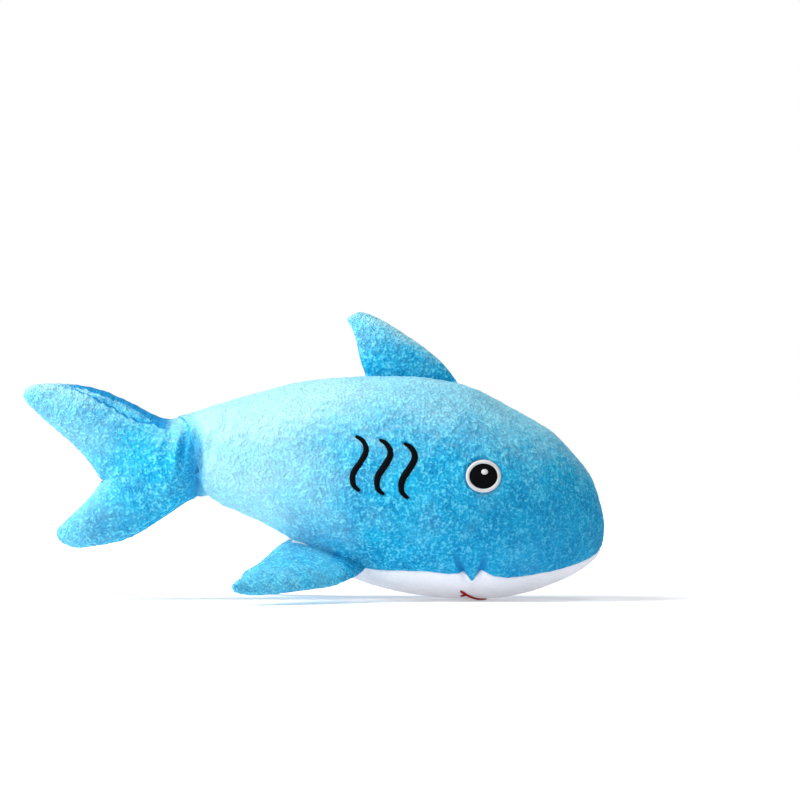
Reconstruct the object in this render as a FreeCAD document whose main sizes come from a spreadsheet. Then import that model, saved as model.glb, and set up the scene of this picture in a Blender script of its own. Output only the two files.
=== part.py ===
import FreeCAD, Part
import math
import os
from FreeCAD import Placement, Rotation, Vector

# A stuffed plush shark, in millimetres. +X points to the nose, +Z up, and -Y is the shark's right side.
# The origin is on the floor, under the middle of the toy. The body lies on its belly and on the tips of
# the pectoral fins. The tail and the fins are sewn on, and bend at the stitching.

# Single dimensions: (name of the cell, value).
DIMENSIONS = [
    ("surface_depth", 0),           # the outer surface of the pile
    ("stitch_depth", 1.2),          # how deep the embroidery sits in the pile
    ("body_fabric", 3.0),           # cloth and pile of the body
    ("fin_fabric", 2.2),            # cloth and pile of the tail and the fins
    ("seam_gap", 0.9),              # clearance around the tail's round root
    ("dorsal_hinge_x", 46.8),
    ("dorsal_hinge_z", 121.2),
    ("dorsal_tilt", 4.6),           # how far the dorsal root dips towards the nose, in degrees
    ("pectoral_rear_x", -12),       # rear end of the pectoral hinge line
    ("pectoral_rear_y", -17),
    ("pectoral_rear_z", 24.2),
    ("pectoral_front_x", 27),       # front end of the pectoral hinge line
    ("pectoral_front_y", -30),
    ("pectoral_front_z", 9.8),
    ("pectoral_tip_x", -36),        # where the pectoral fin points
    ("pectoral_tip_y", -84),
    ("pectoral_tip_z", 4.8),
    ("eye_x", 88),
    ("eye_z", 64),
    ("eye_ring_wide", 9.4),         # half sizes of the white ring, the pupil and the highlight
    ("eye_ring_tall", 8.8),
    ("pupil_wide", 7.4),
    ("pupil_tall", 6.65),
    ("highlight_wide", 1.8),
    ("highlight_tall", 1.5),
    ("highlight_rise", 2.0),        # the highlight's centre above the pupil's
    ("gill_x", 29.5),               # middle of the middle gill stroke
    ("gill_z", 69),
    ("gill_pitch", 12.6),           # from one stroke to the next, towards the nose
    ("gill_drop", 1.6),             # how much lower each stroke is than the one behind it
    ("gill_tall", 27.5),
    ("gill_swing", 3.3),            # how far the stroke's S bends to each side
    ("gill_lean", 0.06),            # lean of the stroke, forwards for each mm down
    ("gill_wide", 3.0),
    ("mouth_front_x", 95),          # middle of the mouth line, under the snout
    ("mouth_half_span", 22.5),
    ("mouth_sweep", 19),            # how far the corners lie behind the middle
    ("mouth_power", 1.3),
    ("mouth_wide", 2.0),
]

# Each padded piece is a loft through ellipses. A row holds the place along the loft, the low and high edge
# of the ellipse, half its thickness, and how many degrees the surface there leans towards the tip. A hinged
# pad starts with a round root: half a spheroid about the hinge line, through the middle of its first row.
ROW_NAMES = ("along", "low", "high", "half", "lean")
PADS = {
    "body": {
        "rows": [
            (-47, 48.9, 103.0, 24.5, 0),
            (-25, 37.5, 109.0, 33, 0),
            (0, 20.0, 113.4, 41, 0),
            (28, 8.5, 116.3, 47, 0),
            (56, 1.8, 114.6, 50, 0),
            (84, -1.2, 110.0, 49, 6),
            (108, 3.0, 97.5, 42.5, 20),
            (127, 9.8, 84.5, 33, 36),
            (140, 16.5, 69.0, 22.5, 52),
            (147.5, 24.5, 52.0, 11, 72),
        ],
        "tip": (150, 37),
    },
    "stem": {
        "rows": [
            (58, 53.0, 98.0, 20, 0),
            (70, 48.5, 95.5, 17.5, 0),
            (82, 39.0, 94.0, 13, 0),
            (94, 34.0, 99.0, 9.5, 0),
            (104, 38.0, 97.0, 7, 0),
        ],
        "hinged": True,
    },
    "upper_lobe": {
        "rows": [
            (88, 66.0, 92.0, 7, 0),
            (96, 64.0, 101.0, 8.5, 0),
            (106, 63.5, 106.5, 8, 0),
            (116, 71.5, 110.0, 7, 0),
            (127, 83.0, 112.0, 6, 0),
            (138, 91.5, 112.3, 4.5, 10),
            (147, 100.0, 111.0, 3.2, 40),
        ],
        "tip": (150, 106),
    },
    "lower_lobe": {
        "rows": [
            (88, 42.0, 64.0, 7, 0),
            (96, 31.5, 66.0, 8.5, 0),
            (106, 29.0, 62.0, 8, 0),
            (114, 27.6, 56.0, 7, 0),
            (122, 27.3, 47.5, 6, 0),
            (129, 28.8, 41.5, 4, 30),
        ],
        "tip": (133.5, 34),
    },
    "dorsal": {
        "rows": [
            (0, -21.0, 21.0, 5, 0),
            (6, -23.0, 15.0, 4.9, 0),
            (12, -25.0, 6.5, 4.4, 0),
            (18, -27.5, -4.8, 3.8, 0),
            (23, -29.4, -17.0, 2.8, 35),
        ],
        "tip": (25.8, -25),
        "hinged": True,
    },
    "pectoral": {
        "rows": [
            (0, -21.5, 21.5, 4.5, 0),
            (15, -20.8, 20.0, 4.8, 0),
            (35, -19.0, 15.0, 4.6, 0),
            (55, -19.5, 6.0, 4.0, 0),
            (69, -19.8, -4.0, 3.2, 10),
            (74, -18.5, -8.5, 2.8, 40),
        ],
        "tip": (77, -14),
        "hinged": True,
    },
}

# The seam between the blue sides and the white belly, seen from the side: (x, z) from tail to nose.
BELLY_SEAM = [
    (-48, 51.5), (-25, 41), (0, 27), (27, 17.5), (56, 14.5), (84, 13), (110, 13.5), (132, 18.5), (152, 28),
]

REACH = 400                         # size of the boxes and prisms that cut right through the toy
BELOW_FLOOR = -50                   # where the prism that cuts out the belly ends
MOUTH_RISE = 25                     # how far the mouth's prism rises from the floor
GILL_STROKES = 3
ROOT_ANGLES = (60, 30)              # where a round root has its ellipses, in degrees before the hinge line
CURVE_STEPS = 12                    # points that carry each computed curve

doc = FreeCAD.newDocument("plush_shark")
sheet = doc.addObject("Spreadsheet::Sheet", "sizes")


def write_cells():
    """Write every dimension as a plain number with an alias, one to a row."""
    cells = list(DIMENSIONS)
    for pad, data in PADS.items():
        for index, row in enumerate(data["rows"]):
            cells += [(f"{pad}_{index}_{name}", value) for name, value in zip(ROW_NAMES, row)]
        if "tip" in data:
            cells += [(f"{pad}_tip_along", data["tip"][0]), (f"{pad}_tip_chord", data["tip"][1])]
    for index, (x, z) in enumerate(BELLY_SEAM):
        cells += [(f"seam_{index}_x", x), (f"seam_{index}_z", z)]
    for line, (alias, value) in enumerate(cells, start=1):
        sheet.set(f"A{line}", alias)
        sheet.set(f"B{line}", str(value))
        sheet.setAlias(f"B{line}", alias)
    doc.recompute()


def size(alias):
    return float(getattr(sheet, alias))


def add(kind, name, **properties):
    """Add a document object and set its properties; text starting with '=' is bound as an expression."""
    item = doc.addObject(kind, name)
    item.Label = name
    for key, value in properties.items():
        if isinstance(value, str) and value.startswith("="):
            item.setExpression(key, value[1:])
        else:
            setattr(item, key, value)
    return item


def cut(name, base, tool):
    return add("Part::Cut", name, Base=base, Tool=tool)


def common(name, base, tool):
    return add("Part::Common", name, Base=base, Tool=tool)


def fuse(name, items):
    return add("Part::MultiFuse", name, Shapes=items)


def mirror(item):
    """The same piece on the shark's other side."""
    here, there = ("right", "left") if item.Label.startswith("right") else ("left", "right")
    name = item.Label.replace(here, there)
    return add("Part::Mirroring", name, Source=item, Base=Vector(0, 0, 0), Normal=Vector(0, 1, 0))


def frame(origin, chord, thickness):
    """A placement whose X runs along an ellipse's long axis and whose Y runs through its thickness."""
    loft = chord.cross(thickness)
    return Placement(origin, Rotation(chord, thickness, loft, "ZXY"))


def root_sections(pad, place, depth):
    """The ellipses of a round root, which turns about the hinge line and keeps its distance all round."""
    cell = f"sizes.{pad}_0_"
    middle = (size(f"{pad}_0_low") + size(f"{pad}_0_high")) / 2
    start = size(f"{pad}_0_along")
    radius = size(f"{pad}_0_half") - size(depth)
    end = place.multVec(Vector(middle, 0, start - radius))
    sections = [add("Part::Vertex", f"{pad}_{depth}_root_end", X=end.x, Y=end.y, Z=end.z)]
    for angle in ROOT_ANGLES:
        along = start - radius * math.sin(math.radians(angle))
        sections.append(add(
            "Part::Ellipse", f"{pad}_{depth}_root_{angle}",
            MajorRadius=f"=(({cell}high - {cell}low) / 2 - sizes.{depth}) * cos({angle})",
            MinorRadius=f"=({cell}half - sizes.{depth}) * cos({angle})",
            Placement=place.multiply(Placement(Vector(middle, 0, along), Rotation()))))
    return sections


def pad_loft(pad, place, depth):
    """Loft one padded piece's surface, the given depth below its outer face."""
    sections = root_sections(pad, place, depth) if "hinged" in PADS[pad] else []
    for index in range(len(PADS[pad]["rows"])):
        cell = f"sizes.{pad}_{index}_"
        row = {name: size(f"{pad}_{index}_{name}") for name in ROW_NAMES}
        middle = (row["low"] + row["high"]) / 2
        along = row["along"] - size(depth) * math.sin(math.radians(row["lean"]))
        sections.append(add(
            "Part::Ellipse", f"{pad}_{depth}_section_{index}",
            MajorRadius=f"=({cell}high - {cell}low) / 2 - sizes.{depth} * cos({cell}lean)",
            MinorRadius=f"={cell}half - sizes.{depth} * cos({cell}lean)",
            Placement=place.multiply(Placement(Vector(middle, 0, along), Rotation()))))
    if "tip" in PADS[pad]:
        tip = place.multVec(Vector(size(f"{pad}_tip_chord"), 0, size(f"{pad}_tip_along") - size(depth)))
        sections.append(add("Part::Vertex", f"{pad}_{depth}_tip", X=tip.x, Y=tip.y, Z=tip.z))
    return add("Part::Loft", f"{pad}_{depth}", Sections=sections, Solid=True, Ruled=False)


def half_space(name, corner):
    """A box with one corner given, reaching through the toy."""
    place = Placement(corner, Rotation())
    return add("Part::Box", name, Length=REACH, Width=REACH, Height=REACH, Placement=place)


def prism(name, outline, direction):
    """Carry a closed outline right through the toy."""
    return add("Part::Extrusion", name, Base=outline, Dir=direction, LengthFwd=REACH / 2, Solid=True)


def wire(name, edges):
    item = doc.addObject("Part::Feature", name)
    item.Label = name
    item.Shape = Part.Wire(edges)
    return item


def smooth_edge(points):
    curve = Part.BSplineCurve()
    curve.interpolate(points)
    return curve.toShape()


def band(name, point, width):
    """A closed outline around a line: point(t) is its middle and width(t) its width, t from 0 to 1."""
    steps = [index / CURVE_STEPS for index in range(CURVE_STEPS + 1)]
    left = []
    right = []
    for t in steps:
        ahead = point(min(t + 0.01, 1)) - point(max(t - 0.01, 0))
        side = ahead.normalize().cross(band_normal(point)) * (width(t) / 2)
        left.append(point(t) + side)
        right.append(point(t) - side)
    ends = [Part.makeLine(left[-1], right[-1]), Part.makeLine(right[0], left[0])]
    return wire(name, [smooth_edge(left), ends[0], smooth_edge(right[::-1]), ends[1]])


def band_normal(point):
    """The normal of the level or upright plane that a line lies in."""
    level = abs(point(0).z - point(0.5).z) < 1e-6
    return Vector(0, 0, 1) if level else Vector(0, 1, 0)


def belly_cutter():
    """A prism through the toy, under the seam between the sides and the belly."""
    points = [Vector(size(f"seam_{index}_x"), 0, size(f"seam_{index}_z")) for index in range(len(BELLY_SEAM))]
    first, last = points[0], points[-1]
    corners = [last, Vector(last.x, 0, BELOW_FLOOR), Vector(first.x, 0, BELOW_FLOOR), first]
    sides = [Part.makeLine(start, end) for start, end in zip(corners, corners[1:])]
    outline = wire("belly_outline", [smooth_edge(points)] + sides)
    return add("Part::Extrusion", "belly_cutter", Base=outline, Dir=Vector(0, 1, 0),
               LengthFwd=REACH / 2, Symmetric=True, Solid=True)


def eye_prisms():
    """Three ellipses carried through the right side: the ring's outside, the pupil and the highlight."""
    sideways = Rotation(Vector(1, 0, 0), 90)
    prisms = {}
    for name, rise in (("eye_ring", 0), ("pupil", 0), ("highlight", size("highlight_rise"))):
        place = Placement(Vector(size("eye_x"), 0, size("eye_z") + rise), sideways)
        outline = add("Part::Ellipse", f"{name}_outline", MajorRadius=f"=sizes.{name}_wide",
                      MinorRadius=f"=sizes.{name}_tall", Placement=place)
        prisms[name] = prism(f"{name}_prism", outline, Vector(0, -1, 0))
    return prisms


def gill_prism(number):
    """One gill stroke: a flat S that leans forwards, thickest in the middle."""
    x = size("gill_x") + (number - 1) * size("gill_pitch")
    z = size("gill_z") - (number - 1) * size("gill_drop")
    tall = size("gill_tall")

    def point(t):
        drop = (t - 0.5) * tall
        swing = size("gill_swing") * math.cos(2 * math.pi * (t - 0.2))
        return Vector(x + swing + size("gill_lean") * drop, 0, z - drop)

    def width(t):
        return size("gill_wide") * (0.45 + 0.55 * math.sin(math.pi * t))

    return prism(f"gill_prism_{number}", band(f"gill_outline_{number}", point, width), Vector(0, -1, 0))


def mouth_prism():
    """A smile seen from below: the corners lie behind its middle."""
    span = size("mouth_half_span")

    def point(t):
        y = (2 * t - 1) * span
        back = size("mouth_sweep") * abs(y / span) ** size("mouth_power")
        return Vector(size("mouth_front_x") - back, y, -size("stitch_depth"))

    def width(t):
        return size("mouth_wide")

    outline = band("mouth_outline", point, width)
    return add("Part::Extrusion", "mouth_prism", Base=outline, Dir=Vector(0, 0, 1),
               LengthFwd=MOUTH_RISE, Solid=True)


def make_body(right_half):
    """Side panels, belly, stuffing and embroidery."""
    place = frame(Vector(0, 0, 0), Vector(0, 0, 1), Vector(0, -1, 0))
    above_floor = half_space("above_floor", Vector(-REACH / 2, -REACH / 2, 0))
    surface = common("body_surface", pad_loft("body", place, "surface_depth"), above_floor)
    lining = pad_loft("body", place, "body_fabric")
    hinge = Vector(-size("stem_0_along"), 0, (size("stem_0_low") + size("stem_0_high")) / 2)
    socket = add("Part::Ellipsoid", "tail_socket",
                 Radius1="=(sizes.stem_0_high - sizes.stem_0_low) / 2 + sizes.seam_gap",
                 Radius2="=sizes.stem_0_half + sizes.seam_gap",
                 Radius3="=sizes.stem_0_half + sizes.seam_gap",
                 Placement=Placement(hinge, Rotation()))
    stitches = cut("stitch_layer", surface, pad_loft("body", place, "stitch_depth"))
    cloth = cut("body_cloth", cut("body_shell", surface, lining), socket)
    below_seam = belly_cutter()

    prisms = eye_prisms()
    ring = cut("ring_prism", prisms["eye_ring"], prisms["pupil"])
    pupil = cut("pupil_ring_prism", prisms["pupil"], prisms["highlight"])
    eye = [
        common("right_eye_white", ring, stitches),
        common("right_pupil", pupil, stitches),
        common("right_eye_highlight", prisms["highlight"], stitches),
    ]
    gills = fuse("gill_prisms", [gill_prism(number) for number in range(GILL_STROKES)])
    gill_stitching = common("right_gill_stitching", gills, stitches)
    mouth = common("mouth_stitching", mouth_prism(), stitches)

    side = common("right_side_plain", cut("both_sides", cloth, below_seam), right_half)
    embroidery = fuse("right_embroidery", eye + [gill_stitching])
    right_side = cut("right_side_panel", side, embroidery)
    belly = cut("belly_panel", common("belly_plain", cloth, below_seam), mouth)
    stuffing = cut("body_stuffing", lining, socket)
    right_pieces = [right_side, gill_stitching] + eye
    return [belly, stuffing, mouth] + right_pieces + [mirror(piece) for piece in right_pieces]


def make_tail(right_half):
    """The stem and the forked fin: two panels and the stuffing."""
    place = frame(Vector(0, 0, 0), Vector(0, 0, 1), Vector(0, 1, 0))
    solids = {}
    for depth in ("surface_depth", "fin_fabric"):
        lofts = [pad_loft(pad, place, depth) for pad in ("stem", "upper_lobe", "lower_lobe")]
        solids[depth] = fuse(f"tail_{depth}", lofts)
    stuffing = solids["fin_fabric"]
    stuffing.Label = "tail_stuffing"
    cloth = cut("tail_cloth", solids["surface_depth"], stuffing)
    panel = common("right_tail_panel", cloth, right_half)
    return [stuffing, panel, mirror(panel)]


def make_fin(pad, place, pieces, halves):
    """A padded blade with a round root on its hinge line: two panels and the stuffing."""
    stuffing = pad_loft(pad, place, "fin_fabric")
    stuffing.Label = pieces["stuffing"]
    cloth = cut(f"{pad}_cloth", pad_loft(pad, place, "surface_depth"), stuffing)
    panels = [common(pieces[side], cloth, half) for side, half in halves.items()]
    return [stuffing] + panels


def make_dorsal(left_half):
    tilt = math.radians(size("dorsal_tilt"))
    chord = Vector(math.cos(tilt), 0, -math.sin(tilt))
    place = frame(Vector(size("dorsal_hinge_x"), 0, size("dorsal_hinge_z")), chord, Vector(0, 1, 0))
    pieces = {"stuffing": "dorsal_stuffing", "left": "left_dorsal_panel"}
    stuffing, panel = make_fin("dorsal", place, pieces, {"left": left_half})
    return [stuffing, panel, mirror(panel)]


def make_pectorals():
    """The right fin stands on its hinge line and points at its tip; the left one mirrors it."""
    rear, front, tip = [
        Vector(*(size(f"pectoral_{end}_{axis}") for axis in "xyz")) for end in ("rear", "front", "tip")]
    middle = (rear + front) * 0.5
    chord = (front - rear).normalize()
    towards_tip = tip - middle
    outwards = (towards_tip - chord * towards_tip.dot(chord)).normalize()
    place = frame(middle, chord, outwards.cross(chord))
    above = half_space("fin_upper_half", Vector(0, 0, 0))
    above.Placement = place.multiply(Placement(Vector(-REACH / 2, 0, -REACH / 2), Rotation()))
    below = half_space("fin_lower_half", Vector(0, 0, 0))
    below.Placement = place.multiply(Placement(Vector(-REACH / 2, -REACH, -REACH / 2), Rotation()))
    pieces = {"stuffing": "right_pectoral_stuffing", "upper": "right_pectoral_upper_panel",
              "lower": "right_pectoral_lower_panel"}
    right = make_fin("pectoral", place, pieces, {"upper": above, "lower": below})
    return right + [mirror(piece) for piece in right]


def check(pieces):
    """Stop unless every object recomputed and every piece is a sound solid."""
    failed = [item.Label for item in doc.Objects if "Invalid" in item.State or "Error" in item.State]
    failed += [piece.Label for piece in pieces if piece.Shape.isNull() or not piece.Shape.isValid()]
    if failed:
        raise RuntimeError("these pieces failed: " + ", ".join(failed))


def write(pieces):
    os.makedirs("parts", exist_ok=True)
    for piece in pieces:
        piece.Shape.exportStep(f"parts/{piece.Label}.step")
        print(f"{piece.Label}: {len(piece.Shape.Solids)} solid(s), {piece.Shape.Volume:.0f} mm3")


write_cells()
right_half = half_space("right_half", Vector(-REACH / 2, -REACH, -REACH / 2))
left_half = half_space("left_half", Vector(-REACH / 2, 0, -REACH / 2))
pieces = make_body(right_half) + make_tail(right_half) + make_dorsal(left_half) + make_pectorals()
doc.recompute()
check(pieces)
write(pieces)
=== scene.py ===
import math

import bmesh
import bpy
import numpy as np
from bpy.props import FloatProperty, FloatVectorProperty, PointerProperty
from bpy.types import Operator, Panel, PropertyGroup
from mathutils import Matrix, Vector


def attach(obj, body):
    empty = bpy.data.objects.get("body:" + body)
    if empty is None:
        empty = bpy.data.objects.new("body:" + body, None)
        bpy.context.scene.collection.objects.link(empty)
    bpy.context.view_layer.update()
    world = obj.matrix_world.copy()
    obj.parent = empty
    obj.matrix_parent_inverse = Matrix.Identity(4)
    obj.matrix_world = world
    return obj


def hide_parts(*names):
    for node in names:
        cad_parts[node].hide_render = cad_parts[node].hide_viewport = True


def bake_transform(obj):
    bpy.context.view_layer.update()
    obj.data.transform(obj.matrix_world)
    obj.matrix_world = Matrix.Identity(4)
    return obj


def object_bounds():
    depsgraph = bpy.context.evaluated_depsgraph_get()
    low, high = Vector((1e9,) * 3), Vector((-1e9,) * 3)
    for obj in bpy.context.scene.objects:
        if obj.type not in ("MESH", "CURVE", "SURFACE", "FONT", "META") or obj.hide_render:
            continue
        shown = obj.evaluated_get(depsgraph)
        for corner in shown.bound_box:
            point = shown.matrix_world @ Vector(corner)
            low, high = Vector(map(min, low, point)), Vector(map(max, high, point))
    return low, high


bl_info = {
    "name": "Plush Shark",
    "version": (1, 0, 0),
    "blender": (4, 5, 0),
    "location": "View3D > Sidebar > Plush Shark",
    "description": "Sews a stuffed plush shark around its packed frame",
    "category": "Object",
}

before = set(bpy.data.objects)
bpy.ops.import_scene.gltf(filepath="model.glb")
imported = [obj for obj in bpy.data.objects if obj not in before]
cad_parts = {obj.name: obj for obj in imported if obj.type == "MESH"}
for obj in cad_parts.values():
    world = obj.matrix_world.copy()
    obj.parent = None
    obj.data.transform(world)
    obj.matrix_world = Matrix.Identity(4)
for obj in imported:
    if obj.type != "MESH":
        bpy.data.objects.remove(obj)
CAD_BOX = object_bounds()

# Shapes are worked out in millimetres and put into meshes in metres. +X points to the nose, +Z up, and the
# shark's right side is -Y.
MM = 0.001

# ---- Numbers that shape the toy, in millimetres ----

# The trunk from the tail's root to the nose: x, bottom, top, half width, and the height of the widest place.
TRUNK = np.array([
    (-75, 44.0, 94.0, 16.0, 70.5),
    (-62, 51.0, 97.4, 21.0, 75.0),
    (-53, 52.2, 100.6, 25.5, 76.5),
    (-44, 47.0, 103.2, 29.5, 76.0),
    (-25, 37.2, 108.8, 36.5, 74.0),
    (-6, 25.5, 112.7, 42.0, 70.0),
    (12, 15.0, 114.8, 46.0, 66.0),
    (30, 8.2, 115.8, 48.5, 62.0),
    (50, 3.4, 115.4, 50.0, 58.0),
    (70, 0.9, 113.0, 50.0, 54.5),
    (86, 0.4, 108.2, 48.5, 51.5),
    (99, 1.4, 101.8, 45.5, 49.0),
    (111, 4.0, 94.8, 41.0, 46.5),
    (124, 8.4, 86.9, 34.5, 44.0),
    (136, 14.0, 74.7, 25.5, 41.5),
    (143, 18.8, 65.4, 18.5, 39.5),
    (148.6, 25.5, 51.0, 9.5, 38.0),
    (150.8, 37.6, 37.6, 0.0, 37.6),
])
TRUNK_START = -75.0
NOSE_X = TRUNK[-1, 0]
ROUNDNESS = 2.15  # exponent of the cross-section: 2 is an ellipse, more is boxier

# The seam between the blue sides and the white belly: x and z, from the tail to the nose.
BELLY_SEAM = np.array([
    (-58, 52.6), (-44, 47.6), (-30, 41.6), (-20, 36.6), (-10.5, 31.2), (8, 22.4), (27, 16.2), (47, 15.2),
    (64, 14.3), (72.5, 13.5), (78, 12.8), (82.1, 10.9), (85.2, 13.2), (87.4, 15.0), (90, 13.8), (94, 12.4),
    (99, 11.6), (111, 12.6), (124, 15.3), (137, 18.9), (141, 20.5), (145, 22.6), (148.6, 25.9), (150.4, 29.0),
])

# Where the side panels end at the tail: x at the belly seam and at the spine.
REAR_X = (-54.0, -70.0)
LIP = (4.6, 0.25)  # how deep their rear edge rolls in, at the belly seam and at the spine
CREASE_TOP = 0.62  # where the deep crease ends, from the belly seam (0) to the spine (1)

# Folds drawn up by the crease behind the body: x and z of the middle, half length, half width, and depth. A
# negative depth is a ridge.
CREASE_FOLDS = [
    (-66.0, 80.0, 9.0, 1.7, 1.7), (-59.6, 83.5, 6.0, 1.4, 1.4), (-51.8, 79.5, 8.0, 1.3, 1.2),
    (-58.0, 66.0, 13.0, 1.2, 1.9), (-44.0, 93.0, 6.0, 2.2, 0.8), (-69.6, 76.0, 12.0, 1.8, -1.1),
    (-63.4, 79.0, 9.0, 1.3, -0.8), (-74.5, 80.0, 12.0, 2.2, 1.0), (-79.5, 74.0, 10.0, 2.0, -0.7),
]
FOLD_LEAN = 0.13  # how far the folds lean towards the nose for each mm up

# The tail, seen from the side: the outline's upper and lower edge, and the midline and trailing edges.
TAIL_UPPER = [(-48, 100.5), (-62, 96.9), (-75, 93.8), (-87, 98.2), (-99, 103.8), (-109, 108.0), (-120, 111.0),
              (-131, 112.2), (-140, 112.3), (-146.2, 111.3), (-149.4, 108.6), (-150.2, 105.6)]
TAIL_LOWER = [(-48, 54.5), (-62, 52.2), (-75, 43.8), (-88, 35.2), (-100, 30.2), (-110, 28.2), (-117, 27.2),
              (-123, 27.0), (-128, 28.2), (-131.4, 30.6), (-132.6, 33.0), (-132.8, 34.8)]
TAIL_MIDLINE = [(-48, 76.0), (-62, 75.0), (-75, 70.0), (-88, 66.2), (-100, 63.6), (-109.8, 61.8)]
UPPER_TRAILING = [(-109.8, 61.8), (-116.0, 71.2), (-125.2, 81.0), (-135.4, 89.6), (-143.0, 96.6),
                  (-148.0, 101.4), (-150.2, 105.6)]
LOWER_TRAILING = [(-109.8, 61.8), (-113.6, 55.8), (-120.2, 48.8), (-126.4, 43.0), (-130.6, 38.8),
                  (-132.6, 36.6), (-132.8, 34.8)]
TAIL_HALF = [24.5, 20.7, 15.8, 12.0, 9.6, 8.4, 7.6, 6.8, 5.8, 4.4, 2.8, 0.0]
# How far the seam lies round the edge towards the right side, in radians, at each of the rows above.
UPPER_SEAM_TURN = [0, 0, 0.25, 0.62, 0.70, 0.66, 0.55, 0.35, 0.15, 0, 0, 0]
LOWER_SEAM_TURN = [0, 0, 0, 0.10, 0.30, 0.42, 0.42, 0.35, 0.20, 0, 0, 0]
STEM_WAIST = 0.24  # how much narrower the stem is inside the crease

# The dorsal fin: leading and trailing edge as x and z, from inside the body to the tip, and half thickness.
DORSAL_LEADING = [(77, 104), (75, 111.6), (69.6, 119.4), (62.5, 126.6), (53, 133.8), (43, 140.4), (35, 145.2),
                  (28.6, 148.0), (24.0, 148.9), (20.4, 147.6)]
DORSAL_TRAILING = [(29, 104), (27.6, 113), (26.4, 118.5), (24.4, 124.5), (23.2, 130.5), (21.8, 136),
                   (19.8, 141), (18.2, 144), (18.0, 146), (20.4, 147.6)]
DORSAL_HALF = [1.6, 2.4, 4.6, 6.0, 6.2, 5.6, 4.6, 3.6, 2.3, 0.0]

# The right pectoral fin: leading and trailing edge in space, from inside the body to the tip.
PECTORAL_LEADING = [(30, -15, 24), (27.4, -26, 18.0), (21.5, -42, 13.2), (9.3, -60, 10.1), (-7, -74, 8.2),
                    (-21.5, -82, 7.1), (-30, -86, 7.0), (-35.2, -87.6, 7.9), (-37.6, -87.5, 9.4)]
PECTORAL_TRAILING = [(-6, -4, 38), (-13, -12.5, 31.2), (-20.5, -34, 25.4), (-27, -54, 19.4), (-33, -69, 14.8),
                     (-37, -79, 12.0), (-38.8, -84, 10.9), (-39.2, -86.5, 10.2), (-37.6, -87.5, 9.4)]
PECTORAL_HALF = [3.0, 3.6, 5.2, 5.4, 4.8, 4.0, 3.0, 1.9, 0.0]

# The embroidery. Places are x and z on the right side, but the mouth's are x and y, seen from below.
EYE = (87.5, 64.6)
EYE_RING = (9.0, 8.35)  # half width and half height
PUPIL = (7.15, 6.4)
HIGHLIGHT = (1.8, 1.5)
HIGHLIGHT_PLACE = (88.1, 66.8)
GILL_STROKE = [(0.0, 0.0), (3.1, -1.7), (5.3, -4.9), (5.2, -8.8), (2.4, -13.7), (-0.5, -18.2), (-1.3, -22.2),
               (-0.4, -25.6), (2.5, -28.0)]
GILL_STARTS = [(22.2, 85.0), (34.5, 83.2), (46.9, 81.4)]
GILL_WIDTH = (1.4, 3.6)  # at the ends and in the middle
MOUTH_FRONT = 89.0  # the middle of the mouth line, seen from below
MOUTH_SPAN = 22.8
MOUTH_SWEEP = 13.0  # how far its corners lie behind the middle
MOUTH_POWER = 1.15
MOUTH_TICK = [(79.6, -18.6), (77.9, -17.0), (76.4, -15.6)]

# How the cloth meets its seams and its stitching.
TUCKS = (3.0, 1.2)  # how far a cut edge is folded into the toy, in two steps
STITCH_PITCH = 4.6  # from one dent to the next along a fin's seam
EYE_PRESS = 1.3  # how deep the pile is pressed under an eye
GILL_PRESS = 0.7  # and under a gill stroke
BELLY_ENDS = (2.0, 0.7)  # how far the belly panel runs under the tail, and stops before the nose
BELLY_REST = (0.35, 0.4)  # how far the belly stays above the table, and how softly it is flattened
BLADE_FULLNESS = 0.55  # power of a fin's swell: less is fuller
TAIL_FOLD = (3 / 11, 5 / 11)  # the tail's edge from where its midline starts to fold to where it forks
TAIL_DENTS = (-72.0, 8.0)  # x at which the dents of the tail's seam begin, and how long they take
WAIST_BOUNDS = (-76.0, 81.0, 17.0)  # the waist's rear x and top z, and how long it takes to end there
SEAM_WAVER = (0.04, 150.0)  # how much and how fast the tail's turned seam wavers

# Folds at the corner of the mouth: x of the middle, lean, depth and half width, and the height of the middle.
MOUTH_FOLDS = [(76.6, -0.35, 3.0, 1.9), (86.4, 0.3, 2.2, 1.6), (81.3, -0.05, -1.3, 1.6),
               (71.0, -0.5, 0.6, 1.6), (92.0, 0.5, 0.6, 1.5)]
MOUTH_FOLD_Z = 16.5

# Rows and columns of the panels.
SIDE_GRID = (300, 210)
BELLY_GRID = (260, 110)
TAIL_GRID = (200, 76)
DORSAL_GRID = (84, 74)
PECTORAL_GRID = (130, 70)

# ---- Numbers for the materials and the stage, in metres ----

# How many patches, clumps and tufts of nap there are to a metre.
NAP_SCALES = (("Patch Scale", 70.0), ("Clump Scale", 330.0), ("Tuft Scale", 760.0))

# A run is a soft step: from, to, value at from, value at to. The tufts' tips get a painted highlight: a pale
# colour where they stand highest.
TIP_HIGHLIGHT_RUN = (0.52, 0.95, 0.0, 0.55)
TIP_HIGHLIGHT_COLOUR = (0.22, 0.80, 0.98)

# Painted light: a pale colour laid where the light falls, on the rear of the body, the tail and the dorsal
# fin, and on top where the cloth faces up. The runs are over how it faces and over its height or its x.
PAINTED_LIGHT_FACING = (-0.12, 0.0, 1.0)
PAINTED_LIGHT_UP = (0.05, 1.0, 0.0, 1.0)
PAINTED_LIGHT_HEIGHT = (0.030, 0.085, 0.0, 1.0)
PAINTED_LIGHT_REAR = (0.046, -0.040, 0.0, 0.80)
PAINTED_LIGHT_CREASE = (-0.064, -0.054, 0.0, 1.0)
PAINTED_LIGHT_LOW = (0.024, 0.042, 0.36, 1.0)
PAINTED_LIGHT_TAIL = (-0.078, -0.140, 0.0, 0.46)
PAINTED_LIGHT_DORSAL = (0.120, 0.140, 0.0, 0.26)
PAINTED_LIGHT_WISPS = (0.35, 0.70, -0.08, 0.08)
WISP_SCALE = 60.0
UP_WEIGHT = 0.75
PAINTED_LIGHT_AMOUNT = 0.74
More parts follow.
